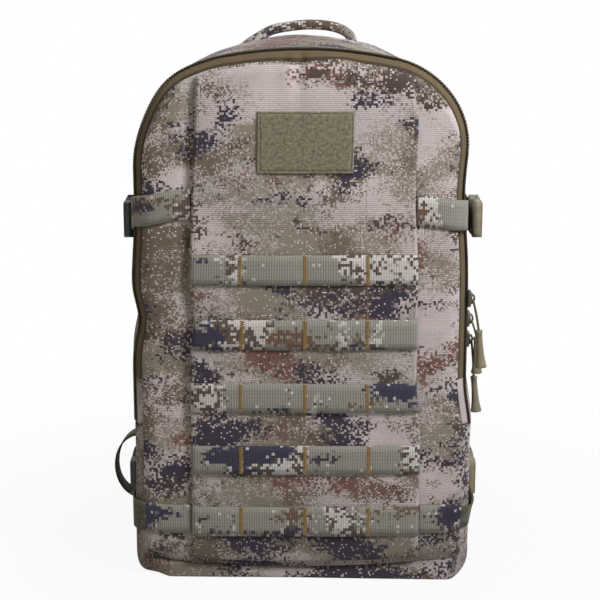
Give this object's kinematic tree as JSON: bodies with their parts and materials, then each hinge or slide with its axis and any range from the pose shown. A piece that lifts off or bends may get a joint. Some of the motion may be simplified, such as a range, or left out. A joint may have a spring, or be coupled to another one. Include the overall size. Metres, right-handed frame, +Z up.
{
  "type": "hunting backpack",
  "caption": "Soft two-compartment field backpack with zipped clamshell front, webbing field, compression straps, carry handle and padded shoulder straps.",
  "frame": {"origin": "on the underside of the bottom panel, where the pack stands, under the middle of the body", "axes": "+Z up the height of the pack, -Y out of its front, +X to the right seen from the front"},
  "size_m": [0.3147, 0.2637, 0.4635],
  "materials": {
    "camo_fabric": null,
    "camo_webbing": null,
    "olive_webbing": "ribbed woven webbing, dark olive",
    "zip_tape": "coyote zip tape with nylon coil",
    "loop_pile": "olive loop pile",
    "spacer_mesh": "dark spacer mesh over foam",
    "strap_fabric": "padded strap, camouflage face and mesh lining",
    "lining": "coated lining cloth",
    "pull_cord": "braided cord",
    "dark_plastic": "moulded acetal, dark green-black",
    "olive_plastic": "moulded acetal, olive",
    "frame_plastic": "sheet polyethylene",
    "slider_metal": "dark painted zinc"
  },
  "bodies": {
    "pack": {"bottom_panel": "camo_fabric", "main_gusset": "camo_fabric", "back_panel": "camo_fabric", "frame_sheet": "frame_plastic", "laptop_sleeve": "lining", "lower_pocket_gusset": "camo_fabric", "lower_front_panel": "camo_fabric", "lower_divider": "lining", "main_zip_rear_tape": "zip_tape", "lower_pals_panel": "camo_fabric", "webbing_row_4": "camo_webbing", "webbing_row_5": "camo_webbing", "lumbar_pad": "spacer_mesh", "back_pad_left": "spacer_mesh", "back_pad_right": "spacer_mesh", "shoulder_webbing_left": "camo_webbing", "shoulder_webbing_right": "camo_webbing", "lower_strap_left": "camo_webbing", "lower_strap_right": "camo_webbing", "lower_strap_tail_left": "olive_webbing", "upper_rear_webbing_left": "olive_webbing", "upper_rear_webbing_right": "olive_webbing", "lower_rear_webbing_left": "olive_webbing", "lower_rear_webbing_right": "olive_webbing", "upper_buckle_socket_left": "dark_plastic", "upper_buckle_socket_right": "olive_plastic", "lower_buckle_socket_left": "dark_plastic", "lower_buckle_socket_right": "olive_plastic"},
    "front_pocket": {"pocket_gusset": "camo_fabric", "pocket_divider": "lining", "organiser_pocket": "lining", "front_zip_pocket_tape": "zip_tape", "main_zip_pocket_tape": "zip_tape"},
    "front_flap": {"front_flap_panel": "camo_fabric", "front_zip_flap_tape": "zip_tape", "upper_pals_panel": "camo_fabric", "webbing_row_1": "camo_webbing", "webbing_row_2": "camo_webbing", "webbing_row_3": "camo_webbing", "loop_patch": "loop_pile", "upper_strap_left": "camo_webbing", "upper_strap_right": "camo_webbing"},
    "upper_buckle_left": {"upper_buckle_tongue_left": "dark_plastic"},
    "upper_buckle_right": {"upper_buckle_tongue_right": "olive_plastic"},
    "lower_buckle_left": {"lower_buckle_tongue_left": "dark_plastic"},
    "lower_buckle_right": {"lower_buckle_tongue_right": "olive_plastic"},
    "front_zip_slider": {"zip_slider_1": "slider_metal"},
    "main_zip_upper_slider": {"zip_slider_2": "slider_metal"},
    "main_zip_lower_slider": {"zip_slider_3": "slider_metal"},
    "front_zip_pull": {"zip_cord_1": "pull_cord", "zip_grip_1": "olive_plastic"},
    "main_zip_upper_pull": {"zip_cord_2": "pull_cord", "zip_grip_2": "olive_plastic"},
    "main_zip_lower_pull": {"zip_cord_3": "pull_cord", "zip_grip_3": "olive_plastic"},
    "carry_handle": {"carry_handle": "camo_webbing"},
    "shoulder_strap_left": {"shoulder_pad_left": "strap_fabric", "ladder_lock_left": "dark_plastic"},
    "shoulder_strap_right": {"shoulder_pad_right": "strap_fabric", "ladder_lock_right": "dark_plastic"}
  },
  "joints": [
    {"name": "front_pocket_fold", "type": "hinge", "parent": "pack", "child": "front_pocket", "pos_m": [0, -0.1, 0.135], "axis": [1, 0, 0], "range_deg": [0, 40]},
    {"name": "front_flap_fold", "type": "hinge", "parent": "front_pocket", "child": "front_flap", "pos_m": [0, -0.1, 0.135], "axis": [1, 0, 0], "range_deg": [0, 70]},
    {"name": "upper_buckle_left_release", "type": "slide", "parent": "front_flap", "child": "upper_buckle_left", "axis": [0, -1, 0], "range_m": [0, 0.012]},
    {"name": "upper_buckle_right_release", "type": "slide", "parent": "front_flap", "child": "upper_buckle_right", "axis": [0, -1, 0], "range_m": [0, 0.012]},
    {"name": "lower_buckle_left_release", "type": "slide", "parent": "pack", "child": "lower_buckle_left", "axis": [0, -1, 0], "range_m": [0, 0.012]},
    {"name": "lower_buckle_right_release", "type": "slide", "parent": "pack", "child": "lower_buckle_right", "axis": [0, -1, 0], "range_m": [0, 0.012]},
    {"name": "front_zip_slide", "type": "slide", "parent": "front_pocket", "child": "front_zip_slider", "axis": [0, 0, 1], "range_m": [-0.06, 0.028]},
    {"name": "main_zip_upper_slide", "type": "slide", "parent": "pack", "child": "main_zip_upper_slider", "axis": [0, 0, 1], "range_m": [0, 0.05]},
    {"name": "main_zip_lower_slide", "type": "slide", "parent": "pack", "child": "main_zip_lower_slider", "axis": [0, 0, 1], "range_m": [-0.028, 0]},
    {"name": "front_zip_pull_swing", "type": "hinge", "parent": "front_zip_slider", "child": "front_zip_pull", "pos_m": [0.1419, -0.07915, 0.238], "axis": [0, -1, 0], "range_deg": [0, 80]},
    {"name": "main_zip_upper_pull_swing", "type": "hinge", "parent": "main_zip_upper_slider", "child": "main_zip_upper_pull", "pos_m": [0.1464, -0.03225, 0.2095], "axis": [0, -1, 0], "range_deg": [0, 80]},
    {"name": "main_zip_lower_pull_swing", "type": "hinge", "parent": "main_zip_lower_slider", "child": "main_zip_lower_pull", "pos_m": [0.1464, -0.03225, 0.1915], "axis": [0, -1, 0], "range_deg": [0, 80]},
    {"name": "carry_handle_swing", "type": "hinge", "parent": "pack", "child": "carry_handle", "pos_m": [0, 0.045, 0.44786], "axis": [1, 0, 0], "range_deg": [-40, 40], "stiffness_Nm_per_rad": 0.02},
    {"name": "shoulder_strap_left_swing", "type": "hinge", "parent": "pack", "child": "shoulder_strap_left", "pos_m": [-0.055, 0.0898, 0.4172], "axis": [1, 0, 0], "range_deg": [0, 30]},
    {"name": "shoulder_strap_right_swing", "type": "hinge", "parent": "pack", "child": "shoulder_strap_right", "pos_m": [0.055, 0.0898, 0.4172], "axis": [1, 0, 0], "range_deg": [0, 30]}
  ]
}
